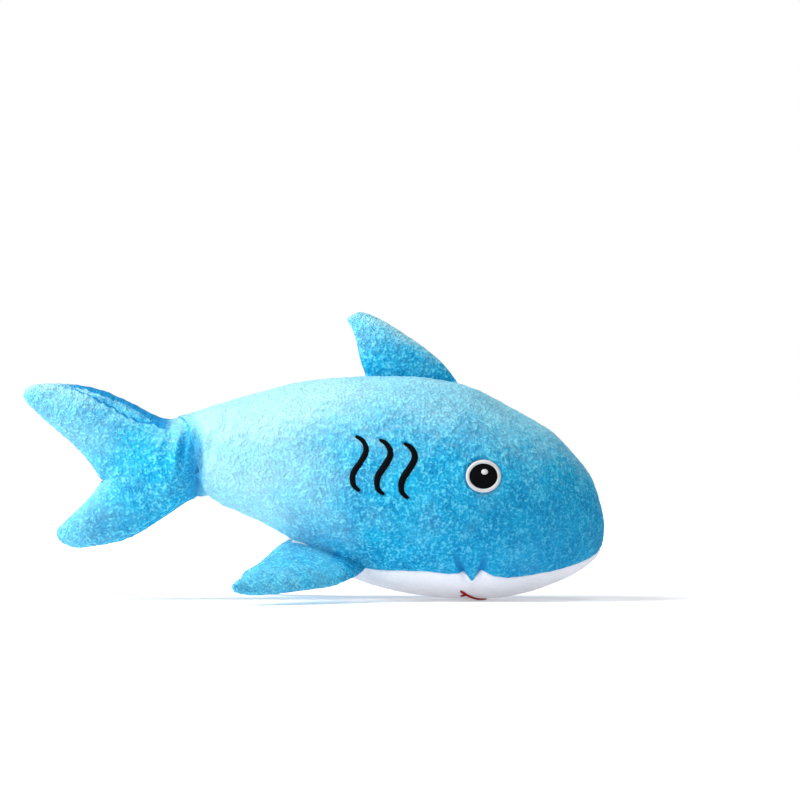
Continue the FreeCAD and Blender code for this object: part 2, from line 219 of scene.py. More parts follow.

# Painted shade: a deeper colour laid where shade falls, on the tail's upper edge, in the crease and low on
# the head.
PAINTED_SHADE_COLOUR = (0.01, 0.25, 0.56)
PAINTED_SHADE_FACING = (0.35, 0.0, 0.94)
EDGE_FACING = (0.45, 0.65, 0.0, 1.0)
EDGE_X = ((-0.070, -0.078, 0.0, 1.0), (-0.138, -0.120, 0.0, 1.0))
CREASE_X = ((-0.074, -0.060, 0.0, 1.0), (-0.054, -0.058, 0.0, 1.0))
CREASE_Z = (0.094, 0.078, 0.0, 1.0)
CREASE_WEIGHT = 0.7
HEAD_X = (0.020, 0.125, 0.0, 1.0)
HEAD_Z = (0.085, 0.030, 0.0, 1.0)
HEAD_WEIGHT = 0.5

# The two folds at the mouth that get painted shade: lean, and x at the floor, with their outer and inner half
# width.
MOUTH_SHADE = ((0.35, 0.0824), (-0.30, 0.0815))
SHADE_WIDTHS = (0.003, 0.0005)
SHADE_Z = (0.028, 0.019, 0.0, 1.0)
SHADE_WEIGHT = 0.7

# The studio: name, place, size and power of each light.
LIGHTS = (
    ("top_left", (-0.79, -0.34, 1.20), 0.5, 12.5),
    ("above", (0.30, -0.30, 1.30), 0.5, 5.0),
    ("left", (-1.27, -0.25, 0.58), 0.5, 11.0),
    ("left_front", (-0.86, -1.1, 0.36), 0.6, 3.0),
    ("behind", (0.5, 1.3, 0.6), 0.8, 4.0),
)
SKY_STRENGTH = 0.30  # how strongly the white backdrop lights the toy
TABLE_REACH = 3.0
TABLE_GLOW = 0.19
TABLE_FADE = (0.15, 0.6, 0.0, 1.0)  # run of the distance over which the table turns white
SENSOR_WIDTH = 36.0  # in millimetres, as lenses are measured
CAMERA_X = 0.045
CAMERA_Z = 0.1034

# ---- Curves, noise and meshes ----

def spline(knots, rows, at):
    """A natural cubic spline: through the rows at the knots, with no curvature at its two ends."""
    knots = np.asarray(knots, float)
    rows = np.asarray(rows, float).reshape(len(knots), -1)
    step = np.diff(knots)
    slope = np.diff(rows, axis=0) / step[:, None]
    matrix = np.eye(len(knots))
    right = np.zeros_like(rows)
    inner = np.arange(1, len(knots) - 1)
    matrix[inner, inner - 1] = step[:-1]
    matrix[inner, inner] = 2 * (step[:-1] + step[1:])
    matrix[inner, inner + 1] = step[1:]
    right[inner] = 6 * np.diff(slope, axis=0)
    bend = np.linalg.solve(matrix, right)
    at = np.asarray(at, float)
    cell = np.clip(np.searchsorted(knots, at, side="right") - 1, 0, len(step) - 1)
    width = step[cell][..., None]
    after = (at - knots[cell])[..., None]
    before = width - after
    return (bend[cell] * before ** 3 + bend[cell + 1] * after ** 3) / (6 * width) \
        + (rows[cell] / width - bend[cell] * width / 6) * before \
        + (rows[cell + 1] / width - bend[cell + 1] * width / 6) * after


def even_spline(rows, at, start=0.0, end=1.0):
    """The same spline with its knots evenly spaced from start to end."""
    return spline(np.linspace(start, end, len(rows)), rows, at)


def lattice_noise(points, cell, seed):
    """Smooth noise from -1 to 1: a random value at each corner of a cubic lattice, eased between corners."""
    scaled = points / cell
    low = np.floor(scaled).astype(np.int64)
    part = scaled - low
    part = part * part * (3 - 2 * part)
    total = np.zeros(points.shape[:-1])
    for corner in range(8):
        bits = np.array([corner & 1, corner >> 1 & 1, corner >> 2 & 1])
        key = ((low + bits) * np.array([374761393, 668265263, 2147483629])).sum(-1) + seed * 1274126177
        key = (key ^ (key >> 13)) * 1103515245
        key = key ^ (key >> 16)
        value = (key & 0xFFFF) / 32767.5 - 1
        total += value * np.where(bits, part, 1 - part).prod(-1)
    return total


def cloudy_noise(points, cell, octaves, seed):
    """Several lattice noises added, each half the size and half the strength of the one before."""
    levels = range(octaves)
    return sum(lattice_noise(points, cell / 2 ** level, seed + level) / 2 ** level for level in levels)


def unit(vectors):
    """The vectors, each divided by its length."""
    return vectors / np.maximum(np.linalg.norm(vectors, axis=-1, keepdims=True), 1e-9)


def grid_normals(points, sign):
    """Normals of a grid: the cross product of its two directions, with a pole's taken from its neighbours."""
    normal = np.cross(np.gradient(points, axis=0), np.gradient(points, axis=1)) * sign
    flat = np.linalg.norm(normal, axis=-1) < 1e-7
    normal = unit(normal)
    for row in np.nonzero(flat.all(axis=1))[0]:
        normal[row] = unit(normal[row - 1].mean(axis=0) if row else normal[1].mean(axis=0))
    return normal


def grid_quads(rows, columns, wrap=False):
    """The four corners of every cell of a grid; wrap joins its last column to its first."""
    index = np.arange(rows * columns).reshape(rows, columns)
    right = np.roll(index, -1, axis=1)
    quads = np.stack([index[:-1], right[:-1], right[1:], index[1:]], axis=-1)
    if not wrap:
        quads = quads[:, :-1]
    return quads.reshape(-1, 4)


def build_mesh(name, grids, sign, wrap=False):
    """One object from one or more grids of points in millimetres, with shared edges and poles merged. Its
    faces look along the cross product of the grid's two directions times the sign."""
    vertices = []
    faces = []
    start = 0
    for points in grids:
        rows, columns = points.shape[:2]
        quads = grid_quads(rows, columns, wrap) + start
        faces.append(quads if sign < 0 else quads[:, ::-1])
        vertices.append(points.reshape(-1, 3) * MM)
        start += rows * columns
    mesh = bpy.data.meshes.new(name)
    mesh.from_pydata(np.concatenate(vertices), [], np.concatenate(faces).tolist())
    work = bmesh.new()
    work.from_mesh(mesh)
    bmesh.ops.remove_doubles(work, verts=work.verts, dist=2e-6)
    bmesh.ops.dissolve_degenerate(work, dist=1e-6, edges=work.edges)
    work.to_mesh(mesh)
    work.free()
    mesh.shade_smooth()
    piece = bpy.data.objects.new(name, mesh)
    bpy.context.scene.collection.objects.link(piece)
    return piece


def mirrored(points):
    """The same points on the shark's left side."""
    return points * np.array([1, -1, 1])


def both_sides(points):
    """Side, points and sign for a grid of the right side whose sign is 1, and for its mirror image."""
    return ("right", points, 1), ("left", mirrored(points), -1)


# ---- The body ----

def bow(x):
    """Turn x into an angle that is 90 degrees at the nose, where a round end becomes a straight line."""
    return np.arcsin(np.clip((x - TRUNK_START) / (NOSE_X - TRUNK_START), 0, 1))


def trunk_profile(x):
    """Bottom, top, half width and widest height of the trunk at each x."""
    profile = spline(bow(TRUNK[:, 0]), TRUNK[:, 1:], bow(x))
    low, high, half, middle = np.moveaxis(profile, -1, 0)
    return low, high, np.maximum(half, 0), middle


def signed_power(value, power):
    """The size of a value raised to a power, with its sign kept."""
    return np.sign(value) * np.abs(value) ** power


def trunk_point(x, angle):
    """A point of the trunk's right side: angle 0 is its widest place, 90 degrees the spine, -90 the belly."""
    low, high, half, middle = trunk_profile(x)
    reach = np.where(angle > 0, high - middle, middle - low)
    y = -half * signed_power(np.cos(angle), 2 / ROUNDNESS)
    z = middle + reach * signed_power(np.sin(angle), 2 / ROUNDNESS)
    return np.stack([x + 0 * y, y, z], axis=-1)


def seam_angle(x):
    """The angle at which the belly seam runs."""
    low, _, _, middle = trunk_profile(x)
    height = spline(BELLY_SEAM[:, 0], BELLY_SEAM[:, 1:], x)[..., 0]
    share = np.clip((middle - height) / np.maximum(middle - low, 0.1), 0, 1)
    return -np.arcsin(share ** (ROUNDNESS / 2))


def side_depth(x, z, distance_out=0.0):
    """How far the trunk's right side lies from its mid-plane at x and z, moved outwards."""
    low, high, half, middle = trunk_profile(x)
    reach = np.where(z > middle, high - middle, middle - low)
    share = np.clip(np.abs(z - middle) / reach, 0, 1)
    return -(half * (1 - share ** ROUNDNESS) ** (1 / ROUNDNESS) + distance_out)


def edge_distance(points, axis, reverse=False):
    """How far each grid point is from the grid's first row or column, measured along the surface."""
    ordered = np.flip(points, axis) if reverse else points
    steps = np.linalg.norm(np.diff(ordered, axis=axis), axis=-1)
    start = np.zeros_like(np.take(steps, [0], axis=axis))
    total = np.concatenate([start, np.cumsum(steps, axis=axis)], axis=axis)
    return np.flip(total, axis) if reverse else total


def stitched_dip(distance, depth=0.9, reach=1.3):
    """A seam draws the cloth in: the dip fades with the distance from the seam."""
    return depth * np.exp(-distance / reach)


def pile_relief(points, cloth, seed=1):
    """Height of the pile: clumps of fibre, and broad soft lumps of the filling underneath."""
    clumps = lattice_noise(points, cloth.clump, seed)
    clumps = clumps + 0.6 * lattice_noise(points, cloth.clump * 1.9, seed + 7)
    lumps = cloudy_noise(points, cell=26.0, octaves=2, seed=seed + 20) * cloth.lumps
    return clumps * cloth.pile * 0.3 + lumps


def embroidery_press(points):
    """The pile is pressed down under the eye and the gill strokes on each side."""
    x, z = points[..., 0], points[..., 2]
    eye = np.hypot((x - EYE[0]) / (EYE_RING[0] + 0.5), (z - EYE[1]) / (EYE_RING[1] + 0.5))
    press = EYE_PRESS * np.clip((1.1 - eye) / 0.1, 0, 1)
    path = even_spline(GILL_STROKE, np.linspace(0, 1, 40))
    for start in GILL_STARTS:
        gap = np.hypot(x[..., None] - path[:, 0] - start[0], z[..., None] - path[:, 1] - start[1]).min(-1)
        press = np.maximum(press, GILL_PRESS * np.clip((1.5 - gap) / 0.9, 0, 1))
    return press


def mouth_pucker(points):
    """Folds drawn up from the corner of the mouth, where its stitching pulls on the belly seam. Each is a
    bell curve across a leaning line."""
    x, z = points[..., 0], points[..., 2]
    fold = np.zeros_like(x)
    fade = np.clip((z - 4) / 5, 0, 1) * np.clip((29 - z) / 14, 0, 1)
    for middle, lean, depth, width in MOUTH_FOLDS:
        off = (x - middle - lean * (z - MOUTH_FOLD_Z)) / np.hypot(1, lean)
        fold += depth * fade * np.exp(-(off / width) ** 2)
    return fold


def crease_folds(points):
    """Depth of the folds on both sides of the crease behind the body. Each is a bell curve across a leaning
    line, and ends more sharply along it."""
    x, z = points[..., 0], points[..., 2]
    depth = np.zeros_like(x)
    for middle, height, reach, width, deep in CREASE_FOLDS:
        along = (z - height) / reach
        off = x - middle - FOLD_LEAN * (z - height)
        depth += deep * np.exp(-(off / width) ** 2 - along ** 4)
    return depth


def ease(value):
    """Zero below 0, one above 1, and a soft step between."""
    value = np.clip(value, 0, 1)
    return value * value * (3 - 2 * value)


def side_panel_points(cloth):
    """The right side panel: x runs from the slanted tail seam to the nose, as the sine of an angle, and the
    trunk's angle from the belly seam to the spine. Dips, folds and pile are taken off along the normal."""
    u = np.linspace(0, 1, SIDE_GRID[0])[:, None]
    v = np.linspace(0, 1, SIDE_GRID[1])[None, :]
    rear = REAR_X[0] + (REAR_X[1] - REAR_X[0]) * v
    x = rear + (NOSE_X - rear) * np.sin(u * math.pi / 2)
    start = seam_angle(x)
    angle = start + (math.pi / 2 - start) * v
    base = trunk_point(x, angle)
    normal = grid_normals(base, 1)
    ahead = x - rear
    lip = LIP[0] + (LIP[1] - LIP[0]) * ease(v / CREASE_TOP)
    roll = lip * (1 - np.sqrt(1 - np.clip(1 - ahead / lip, 0, 1) ** 2))
    depth = roll + stitched_dip(edge_distance(base, 1))
    depth = depth + stitched_dip(edge_distance(base, 1, True), depth=0.4)
    depth = depth + embroidery_press(base) + mouth_pucker(base) + crease_folds(base)
    depth = depth - pile_relief(base, cloth)
    points = base - normal * depth[..., None]
    return turned_in(points, normal, (1, 0, 1, 1))


def turned_in(points, normal, edges):
    """Fold a panel's cut edges into the toy. Edges says which: first row, last row, first and last column."""
    for axis, first, last in ((0, edges[0], edges[1]), (1, edges[2], edges[3])):
        for wanted, at in ((first, 0), (last, -1)):
            if not wanted:
                continue
            edge = np.take(points, [at], axis=axis)
            inwards = np.take(normal, [at], axis=axis)
            parts = [edge - inwards * tuck for tuck in TUCKS] + [points]
            normals = [inwards, inwards, normal]
            points = np.concatenate(parts if at == 0 else parts[::-1], axis=axis)
            normal = np.concatenate(normals if at == 0 else normals[::-1], axis=axis)
    return points


def belly_points(cloth):
    """The belly panel: from the right seam under the body to the left seam, softly flattened on the table."""
    u = np.linspace(0, 1, BELLY_GRID[0])[:, None]
    w = np.linspace(-1, 1, BELLY_GRID[1])[None, :]
    rear = REAR_X[0] - BELLY_ENDS[0]
    x = rear + (NOSE_X - BELLY_ENDS[1] - rear) * np.sin(u * math.pi / 2) + 0 * w
    swing = (math.pi / 2 + seam_angle(x)) * w
    base = trunk_point(x, -math.pi / 2 + np.abs(swing)) * np.stack(
        [np.ones_like(swing), -np.sign(swing + 1e-12), np.ones_like(swing)], axis=-1)
    normal = grid_normals(base, -1)
    gap = np.minimum(edge_distance(base, 1), edge_distance(base, 1, True))
    relief = lattice_noise(base, cell=1.6, seed=31) * cloth.pile * 0.16
    relief = relief + cloudy_noise(base, cell=24.0, octaves=2, seed=33) * cloth.lumps * 0.5
    points = base - normal * (stitched_dip(gap, depth=1.1) + mouth_pucker(base) * 0.6 - relief)[..., None]
    rest, softness = BELLY_REST
    points[..., 2] = rest + np.logaddexp(0, (points[..., 2] - rest) / softness) * softness
    return turned_in(points, normal, (1, 0, 1, 1))


# ---- The tail and the fins ----

def blade(leading, trailing, half, sign, grid):
    """One face of a padded blade: across from the leading to the trailing edge, along from root to tip.
    It swells from both edges like a parabola raised to a power."""
    s = np.linspace(0, 1, grid[0]) ** 0.9
    t = (1 - np.cos(np.linspace(0, math.pi, grid[1]))) / 2
    front = even_spline(leading, s)[:, None, :]
    back = even_spline(trailing, s)[:, None, :]
    thick = np.maximum(even_spline(half, s), 0)
    middle = front + (back - front) * t[None, :, None]
    normal = grid_normals(middle, sign)
    swell = thick * (4 * t * (1 - t))[None, :] ** BLADE_FULLNESS
    return middle + normal * swell[..., None]


def flat_to_space(rows):
    """Edges given as x and z, put on the mid-plane."""
    rows = np.asarray(rows, float)
    return np.stack([rows[:, 0], 0 * rows[:, 0], rows[:, 1]], axis=-1)


def edge_pucker(distance, along, depth):
    """Dents that the stitching leaves a little in from an edge: a cosine with an uneven rhythm."""
    phase = along / STITCH_PITCH * 2 * math.pi
    rhythm = np.cos(phase + 0.9 * np.sin(phase * 0.37))
    return depth * (0.5 + 0.5 * rhythm) * np.exp(-distance / 3.2) * (1 - np.exp(-distance / 0.8))


def fin_surface(base, sign, cloth, seed):
    """Add the seam's dents and the pile to one face of a fin."""
    normal = grid_normals(base, sign)
    gap = np.minimum(edge_distance(base, 1), edge_distance(base, 1, True))
    along = edge_distance(base, 0)
    depth = edge_pucker(gap, along, depth=0.9) - pile_relief(base, cloth, seed) * np.clip(gap / 1.5, 0.25, 1)
    return base - normal * depth[..., None]


def tail_panel(cloth, side):
    """Upper and lower half of one tail panel, side -1 for the right one. Each half runs over the edge of an
    ellipse from the seam to the midline, which beyond the fork becomes the trailing edge of a lobe. The seam
    lies a little round the edge towards the right side, so that the left panel shows beyond it."""
    folded, fork = TAIL_FOLD
    rear, top, soft = WAIST_BOUNDS
    s = np.linspace(0, 1, TAIL_GRID[0])
    t = np.linspace(0, 1, TAIL_GRID[1])[None, :]
    fold = ease((s - folded) / (fork - folded))[:, None]
    half = np.maximum(even_spline(TAIL_HALF, s), 0)
    halves = []
    for outer, trailing, turn in ((TAIL_UPPER, UPPER_TRAILING, UPPER_SEAM_TURN),
                                  (TAIL_LOWER, LOWER_TRAILING, LOWER_SEAM_TURN)):
        edge = even_spline(outer, s)[:, None, :]
        stem = even_spline(TAIL_MIDLINE, np.minimum(s, fork), 0, fork)
        lobe = even_spline(trailing, np.maximum(s, fork), fork, 1)
        inner = np.where((s < fork)[:, None], stem, lobe)[:, None, :]
        seam = np.interp(s, np.linspace(0, 1, len(turn)), turn)[:, None]
        seam = seam * (1 + SEAM_WAVER[0] * np.cos(s * SEAM_WAVER[1])[:, None])
        start = -side * seam
        angle = start + (np.arccos(-fold) - start) * t
        flat = edge + (inner - edge) * ((1 - np.cos(angle)) / (1 + fold))[..., None]
        waist = STEM_WAIST * ease((flat[..., 0] - rear) / soft) * ease((top - flat[..., 1]) / soft)
        depth = side * half * np.sin(angle) * (1 - waist)
        halves.append(np.stack([flat[..., 0], depth, flat[..., 1]], axis=-1))
    return tail_relief(halves[0], halves[1][:, ::-1], -side, fold, cloth)


def tail_relief(upper, lower, sign, fold, cloth):
    """Add the seams, the folds and the pile to both halves of a tail panel. Up to the fork they share their
    normals, so that no line shows along the midline."""
    columns = upper.shape[1]
    joined = grid_normals(np.concatenate([upper, lower], axis=1), sign)
    shared = unit(joined[:, columns - 1] + joined[:, columns])
    joined[:, columns - 1] = joined[:, columns] = shared
    apart = np.concatenate([grid_normals(upper, sign), grid_normals(lower, sign)], axis=1)
    normal = np.where((fold < 0.999)[..., None], joined, apart)
    halves = []
    for base, facing, from_last in ((upper, normal[:, :columns], False), (lower, normal[:, columns:], True)):
        gap = edge_distance(base, 1, from_last)
        gap = np.minimum(gap, np.where(fold > 0.98, edge_distance(base, 1, not from_last), 99))
        along = edge_distance(base, 0)
        soft = np.clip(gap / 2.0, 0.1, 1)
        depth = crease_folds(base) - pile_relief(base, cloth) * soft
        beyond = np.clip((TAIL_DENTS[0] - base[..., 0]) / TAIL_DENTS[1], 0, 1)
        depth = depth + (edge_pucker(gap, along, depth=0.35) + stitched_dip(gap, depth=0.5)) * beyond
        halves.append(base - facing * depth[..., None])
    return halves


# ---- Embroidery ----

def on_side(x, z, out):
    """Points on the right side of the body at x and z, moved out."""
    return np.stack([x + 0 * z, side_depth(x, z, out), z + 0 * x], axis=-1)


def ring_points(outer, inner, height, stitches):
    """A satin-stitched ring: a low round bead whose threads run across it, all the way round."""
    angle = np.linspace(0, 2 * math.pi, stitches * 5, endpoint=False)[None, :]
    across = np.linspace(-0.12, 1.12, 15)[:, None]
    share = np.clip(across, 0, 1)
    wide = inner[0] + (outer[0] - inner[0]) * share
    tall = inner[1] + (outer[1] - inner[1]) * share
    arch = np.sqrt(np.clip(1 - (2 * share - 1) ** 2, 0, 1))
    thread = 0.1 * np.cos(angle * stitches + 0.6 * np.sin(share * 3)) * arch
    out = height * arch + thread - 8.0 * np.abs(across - share)
    return on_side(EYE[0] + wide * np.cos(angle), EYE[1] + tall * np.sin(angle), out)


def disc_points(place, half, height, pitch):
    """A satin-stitched disc, slightly domed, whose threads run level."""
    angle = np.linspace(0, 2 * math.pi, 300, endpoint=False)[None, :]
    share = np.linspace(0, 1.06, 52)[:, None]
    reach = np.clip(share, 0, 1)
    x = place[0] + half[0] * reach * np.cos(angle)
    z = place[1] + half[1] * reach * np.sin(angle)
    thread = 0.07 * np.cos(z / pitch * 2 * math.pi + 0.5 * np.sin(x * 1.1))
    dome = height * np.sqrt(np.clip(1.02 - reach ** 4, 0, 1))
    out = dome + thread * (1 - reach ** 6) - 14 * (share - reach)
    return on_side(x, z, out)


def stroke_points(path, width, height, pitch, lift):
    """A satin-stitched stroke: a low bead along a path, with its threads across it and its ends drawn in.
    lift(x, z, out) puts it on the cloth."""
    length = np.linalg.norm(np.diff(path, axis=0), axis=1).sum()
    ahead = unit(np.gradient(path, axis=0))
    side = np.stack([-ahead[:, 1], ahead[:, 0]], axis=-1)[:, None, :]
    across = np.linspace(-1.15, 1.15, 15)[None, :]
    share = np.clip(across, -1, 1)
    end = np.linspace(0, 1, len(path))[:, None]
    cap = np.sqrt(np.clip(1 - (2 * np.clip(np.abs(end - 0.5) - 0.47, 0, 0.03) / 0.06) ** 2, 0, 1))
    flat = path[:, None, :] + side * (share * width[:, None] / 2 * cap)[..., None]
    arch = np.sqrt(1 - share ** 2)
    thread = 0.1 * np.cos(end * length / pitch * 2 * math.pi + share * 0.8) * arch
    out = height * arch * np.clip(cap, 0.1, 1) + thread - 6 * (np.abs(across) - np.abs(share))
    return lift(flat[..., 0], flat[..., 1], out)


def under_belly(x, y, out):
    """Points on the underside of the body at x and y, moved out."""
    low, _, half, middle = trunk_profile(x)
    share = np.clip(np.abs(y) / np.maximum(half, 1), 0, 1)
    z = middle - (middle - low) * (1 - share ** ROUNDNESS) ** (1 / ROUNDNESS)
    return np.stack([x, y, np.maximum(z - out, 0.15)], axis=-1)


# ---- Materials ----

def new_material(name):
    """A material with its nodes, its links and its Principled shader."""
    material = bpy.data.materials.new(name)
    material.use_nodes = True
    nodes = material.node_tree.nodes
    return material, nodes, material.node_tree.links, nodes["Principled BSDF"]


def new_group(name, outputs, inputs=()):
    """A node group with its nodes, its links and its output node. All its sockets are numbers."""
    group = bpy.data.node_groups.new(name, "ShaderNodeTree")
    for key, value in inputs:
        socket = group.interface.new_socket(key, in_out="INPUT", socket_type="NodeSocketFloat")
        socket.default_value = value
    for key in outputs:
        group.interface.new_socket(key, in_out="OUTPUT", socket_type="NodeSocketFloat")
    return group, group.nodes, group.links, group.nodes.new("NodeGroupOutput")


def group_node(nodes, name, make):
    """A node for the named group, which is made the first time."""
    node = nodes.new("ShaderNodeGroup")
    node.node_tree = bpy.data.node_groups.get(name) or make(name)
    return node


def noise(nodes, links, place, scale, detail):
    """A noise of a fixed scale, or of one that a socket gives."""
    node = nodes.new("ShaderNodeTexNoise")
    node.inputs["Detail"].default_value = detail
    links.new(place, node.inputs["Vector"])
    if isinstance(scale, bpy.types.NodeSocket):
        links.new(scale, node.inputs["Scale"])
    else:
        node.inputs["Scale"].default_value = scale
    return node.outputs["Fac"]


def ramp(nodes, links, source, run, kind="SMOOTHSTEP"):
    """A step from one value to another while the source runs between two others."""
    node = nodes.new("ShaderNodeMapRange")
    node.interpolation_type = kind
    for key, value in zip(("From Min", "From Max", "To Min", "To Max"), run):
        node.inputs[key].default_value = value
    links.new(source, node.inputs["Value"])
    return node.outputs["Result"]


def weighted(nodes, links, *parts):
    """The sum of several sockets, each times its weight."""
    total = None
    for source, weight in parts:
        node = nodes.new("ShaderNodeMath")
        node.operation = "MULTIPLY_ADD"
        node.inputs[1].default_value = weight
        node.inputs[2].default_value = 0.0
        links.new(source, node.inputs[0])
        if total:
            links.new(total, node.inputs[2])
        total = node.outputs[0]
    return total


def product(nodes, links, first, *others):
    """Several sockets multiplied."""
    for other in others:
        node = nodes.new("ShaderNodeMath")
        node.operation = "MULTIPLY"
        links.new(first, node.inputs[0])
        links.new(other, node.inputs[1])
        first = node.outputs[0]
    return first


def runs(nodes, links, *parts):
    """The product of several ramps, each given as its source and its run."""
    return product(nodes, links, *(ramp(nodes, links, source, run) for source, run in parts))


def place_and_facing(nodes, links, towards):
    """Where a point of the cloth is, its X and its Z, and how squarely it faces one way, from -1 to 1."""
    place = nodes.new("ShaderNodeTexCoord")
    facing = nodes.new("ShaderNodeVectorMath")
    facing.operation = "DOT_PRODUCT"
    facing.inputs[1].default_value = towards
    links.new(place.outputs["Normal"], facing.inputs[0])
    split = nodes.new("ShaderNodeSeparateXYZ")
    links.new(place.outputs["Object"], split.inputs[0])
    return place.outputs["Object"], split.outputs["X"], split.outputs["Z"], facing.outputs["Value"]


def nap_group(name):
    """Node group: how brushed pile looks. Tone runs from the gaps between the tufts (0) to their tips (1),
    and Height is the tufts' own relief. Both are sums of noises whose contrast is raised."""
    group, nodes, links, leave = new_group(name, ("Tone", "Height"), NAP_SCALES)
    scales = nodes.new("NodeGroupInput").outputs
    place = nodes.new("ShaderNodeTexCoord").outputs["Object"]
    layers = []
    for (key, _), detail, low in zip(NAP_SCALES, (3.0, 2.0, 2.0), (0.36, 0.34, 0.37)):
        layer = noise(nodes, links, place, scales[key], detail)
        layers.append(ramp(nodes, links, layer, (low, 1.0 - low, 0.0, 1.0), "LINEAR"))
    patch, clump, tuft = layers
    links.new(weighted(nodes, links, (patch, 0.29), (clump, 0.24), (tuft, 0.47)), leave.inputs["Tone"])
    links.new(weighted(nodes, links, (clump, 0.45), (tuft, 0.55)), leave.inputs["Height"])
    return group


def painted_light_group(name):
    """Node group: where painted light goes, as a mask from 0 to 1: the upper side, the rear of the body, the
    tail and the dorsal fin, with noisy wisps.
    """
    group, nodes, links, leave = new_group(name, ("Mask",))
    place, x, z, facing = place_and_facing(nodes, links, PAINTED_LIGHT_FACING)
    up = runs(nodes, links, (facing, PAINTED_LIGHT_UP), (z, PAINTED_LIGHT_HEIGHT))
    rear = runs(nodes, links, (x, PAINTED_LIGHT_REAR), (x, PAINTED_LIGHT_CREASE), (z, PAINTED_LIGHT_LOW))
    tail = ramp(nodes, links, x, PAINTED_LIGHT_TAIL)
    wisps = ramp(nodes, links, noise(nodes, links, place, WISP_SCALE, 3.0), PAINTED_LIGHT_WISPS)
    dorsal = ramp(nodes, links, z, PAINTED_LIGHT_DORSAL)
    total = weighted(nodes, links, (up, UP_WEIGHT), (rear, 1.0), (tail, 1.0), (dorsal, 1.0), (wisps, 1.0))
    links.new(ramp(nodes, links, total, (0.0, 1.0, 0.0, 1.0), "LINEAR"), leave.inputs["Mask"])
    return group


def painted_shade_group(name):
    """Node group: where painted shade goes, as a mask. These are the strip along the
    tail's upper edge, the crease behind the body, the lower part of the head and the folds at the mouth."""
    group, nodes, links, leave = new_group(name, ("Mask",))
    _, x, z, facing = place_and_facing(nodes, links, PAINTED_SHADE_FACING)
    edge = runs(nodes, links, (facing, EDGE_FACING), (x, EDGE_X[0]), (x, EDGE_X[1]))
    crease = runs(nodes, links, (x, CREASE_X[0]), (x, CREASE_X[1]), (z, CREASE_Z))
    head = runs(nodes, links, (x, HEAD_X), (z, HEAD_Z))
    parts = [(edge, 1.0), (crease, CREASE_WEIGHT), (head, HEAD_WEIGHT)]
    outer, inner = SHADE_WIDTHS
    for lean, middle in MOUTH_SHADE:
        line = weighted(nodes, links, (x, 1.0), (z, lean))
        fold = runs(nodes, links, (line, (middle - outer, middle - inner, 0.0, 1.0)),
                    (line, (middle + outer, middle + inner, 0.0, 1.0)), (z, SHADE_Z))
        parts.append((fold, SHADE_WEIGHT))
    links.new(weighted(nodes, links, *parts), leave.inputs["Mask"])
    return group


def mix_colour(nodes, links, factor, first, second):
    """A colour between two, by a factor; each may be a colour or a socket."""
    mix = nodes.new("ShaderNodeMix")
    mix.data_type = "RGBA"
    for key, value in (("Factor", factor), ("A", first), ("B", second)):
        socket = next(item for item in mix.inputs if item.name == key and item.enabled)
        if isinstance(value, bpy.types.NodeSocket):
            links.new(value, socket)
        else:
            socket.default_value = (*value, 1.0)
    return next(item for item in mix.outputs if item.enabled)


def dimmed(colour, share):
    """A colour with only a share of its light."""
    return tuple(channel * share for channel in colour)


def set_surface(nodes, links, shader, colour, height, strength, distance, **values):
    """Give a shader its colour, the relief of a height and its plain values."""
    links.new(colour, shader.inputs["Base Color"])
    for key, value in values.items():
        shader.inputs[key.replace("_", " ")].default_value = value
    relief = nodes.new("ShaderNodeBump")
    relief.inputs["Strength"].default_value = strength
    relief.inputs["Distance"].default_value = distance
    links.new(height, relief.inputs["Height"])
    links.new(relief.outputs["Normal"], shader.inputs["Normal"])


def plush_material(name, deep, pale, bump, painted_light=None):
    """Brushed plush: pale at the tips of the tufts, deep between them, with a soft sheen. The last argument
    is a pale colour for painted light where the light falls on the toy; with it the tufts' tips also get a
    painted highlight, and painted shade is laid in the crease, on the tail's upper edge, low on the head and
    in the folds at the mouth."""
    material, nodes, links, shader = new_material(name)
    nap = group_node(nodes, "Nap", nap_group)
    for key, value in NAP_SCALES:
        nap.inputs[key].default_value = value
    tone, height = nap.outputs["Tone"], nap.outputs["Height"]
    colour = mix_colour(nodes, links, tone, deep, pale)
    if painted_light:
        # Painted highlight: a pale colour on the tips of the tufts, where they stand highest.
        colour = mix_colour(nodes, links, ramp(nodes, links, height, TIP_HIGHLIGHT_RUN), colour, TIP_HIGHLIGHT_COLOUR)
        # Painted light: a pale colour on the upper side, the rear, the tail and the dorsal fin, where the
        # light falls.
        mask = group_node(nodes, "Frost", painted_light_group).outputs["Mask"]
        lit = mix_colour(nodes, links, tone, dimmed(painted_light, 0.8), painted_light)
        colour = mix_colour(nodes, links, weighted(nodes, links, (mask, PAINTED_LIGHT_AMOUNT)), colour, lit)
        # Painted shade: a deeper colour in the crease, on the tail's upper edge, low on the head and in the
        # folds at the mouth.
        painted_shade = group_node(nodes, "Turned", painted_shade_group)
        colour = mix_colour(nodes, links, painted_shade.outputs["Mask"], colour, PAINTED_SHADE_COLOUR)
    set_surface(nodes, links, shader, colour, height, strength=1.0, distance=bump, Roughness=0.7,
                Specular_IOR_Level=0.15, Sheen_Weight=0.2, Sheen_Roughness=0.5, Sheen_Tint=(*pale, 1.0))
    return material


def thread_material(name, colour, roughness):
    """Embroidery thread: smooth, with faint strands and a soft gloss."""
    material, nodes, links, shader = new_material(name)
    strands = noise(nodes, links, nodes.new("ShaderNodeTexCoord").outputs["Object"], 2200.0, 2.0)
    mixed = mix_colour(nodes, links, strands, dimmed(colour, 0.7), colour)
    set_surface(nodes, links, shader, mixed, strands, strength=0.4, distance=0.0002, Roughness=roughness,
                Specular_IOR_Level=0.08)
    return material


